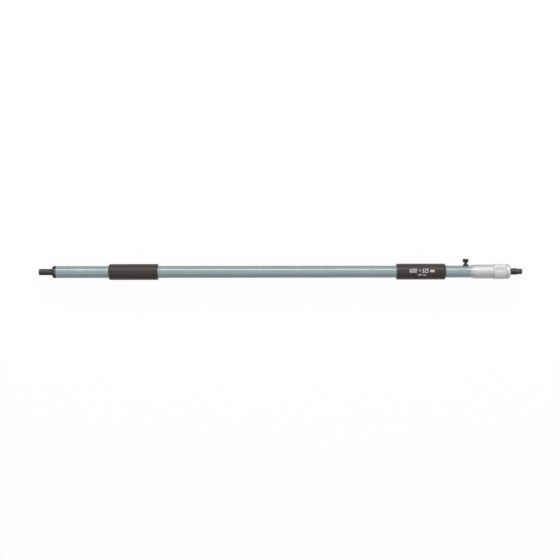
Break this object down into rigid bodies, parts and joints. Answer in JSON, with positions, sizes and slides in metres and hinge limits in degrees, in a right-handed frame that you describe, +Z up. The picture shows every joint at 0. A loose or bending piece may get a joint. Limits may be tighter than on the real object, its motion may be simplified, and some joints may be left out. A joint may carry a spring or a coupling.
{
  "type": "tubular inside micrometer",
  "caption": "Long tubular inside micrometer with a fixed anvil, insulating grips, a micrometer head and a spindle clamp screw, for measuring the inside of large bores and gaps.",
  "frame": {"origin": "on the floor under the middle of the bounding box, with the micrometer lying at rest at reading zero", "axes": "+X along the rod, from the anvil to the spindle; +Z up; the clamp screw leans towards +Y and down to the floor"},
  "size_m": [0.6, 0.0254, 0.0198],
  "materials": {
    "hammertone_paint": "blue-grey hammertone paint",
    "black_plastic": "satin moulded",
    "blackened_steel": "black oxide",
    "satin_chrome": "satin",
    "bare_steel": "turned",
    "hard_tip": "ground and lapped",
    "brass_plug": "turned"
  },
  "bodies": {
    "rod": {"rod_tube": "hammertone_paint", "anvil_grip": "black_plastic", "head_grip": "black_plastic", "anvil": "blackened_steel", "anvil_collar": "blackened_steel", "anvil_end_bush": "bare_steel", "anvil_tip": "hard_tip", "inner_sleeve": "bare_steel", "adjusting_nut": "bare_steel", "clamp_bush": "blackened_steel"},
    "tip": {"spindle_tip": "hard_tip"},
    "thimble_and_spindle": {"thimble": "satin_chrome", "thimble_cap": "satin_chrome", "spindle": "blackened_steel"},
    "sleeve": {"outer_sleeve": "satin_chrome"},
    "plug": {"clamp_plug": "brass_plug"},
    "clamp": {"clamp_screw": "blackened_steel"}
  },
  "joints": [
    {"name": "spindle_travel", "type": "slide", "parent": "rod", "child": "tip", "axis": [1, 0, 0], "range_m": [0, 0.025]},
    {"name": "thimble_turn", "type": "hinge", "parent": "tip", "child": "thimble_and_spindle", "pos_m": [0.2366, -0.00278, 0.00988], "axis": [1, 0, 0], "range_deg": [0, 18000]},
    {"name": "sleeve_zero", "type": "hinge", "parent": "rod", "child": "sleeve", "pos_m": [0.25, -0.00278, 0.00988], "axis": [1, 0, 0], "range_deg": [-20, 20]},
    {"name": "clamp_lift", "type": "slide", "parent": "rod", "child": "plug", "axis": [0, 0.8979, -0.4403], "range_m": [-0.00025, 0.0005]},
    {"name": "clamp_turn", "type": "hinge", "parent": "plug", "child": "clamp", "pos_m": [0.2301, -0.00278, 0.00988], "axis": [0, 0.8979, -0.4403], "range_deg": [-180, 360]}
  ],
  "couplings": [
    {"joint": "thimble_turn", "follows": "spindle_travel", "rad_per_m": 12566},
    {"joint": "clamp_turn", "follows": "clamp_lift", "rad_per_m": 12566}
  ]
}
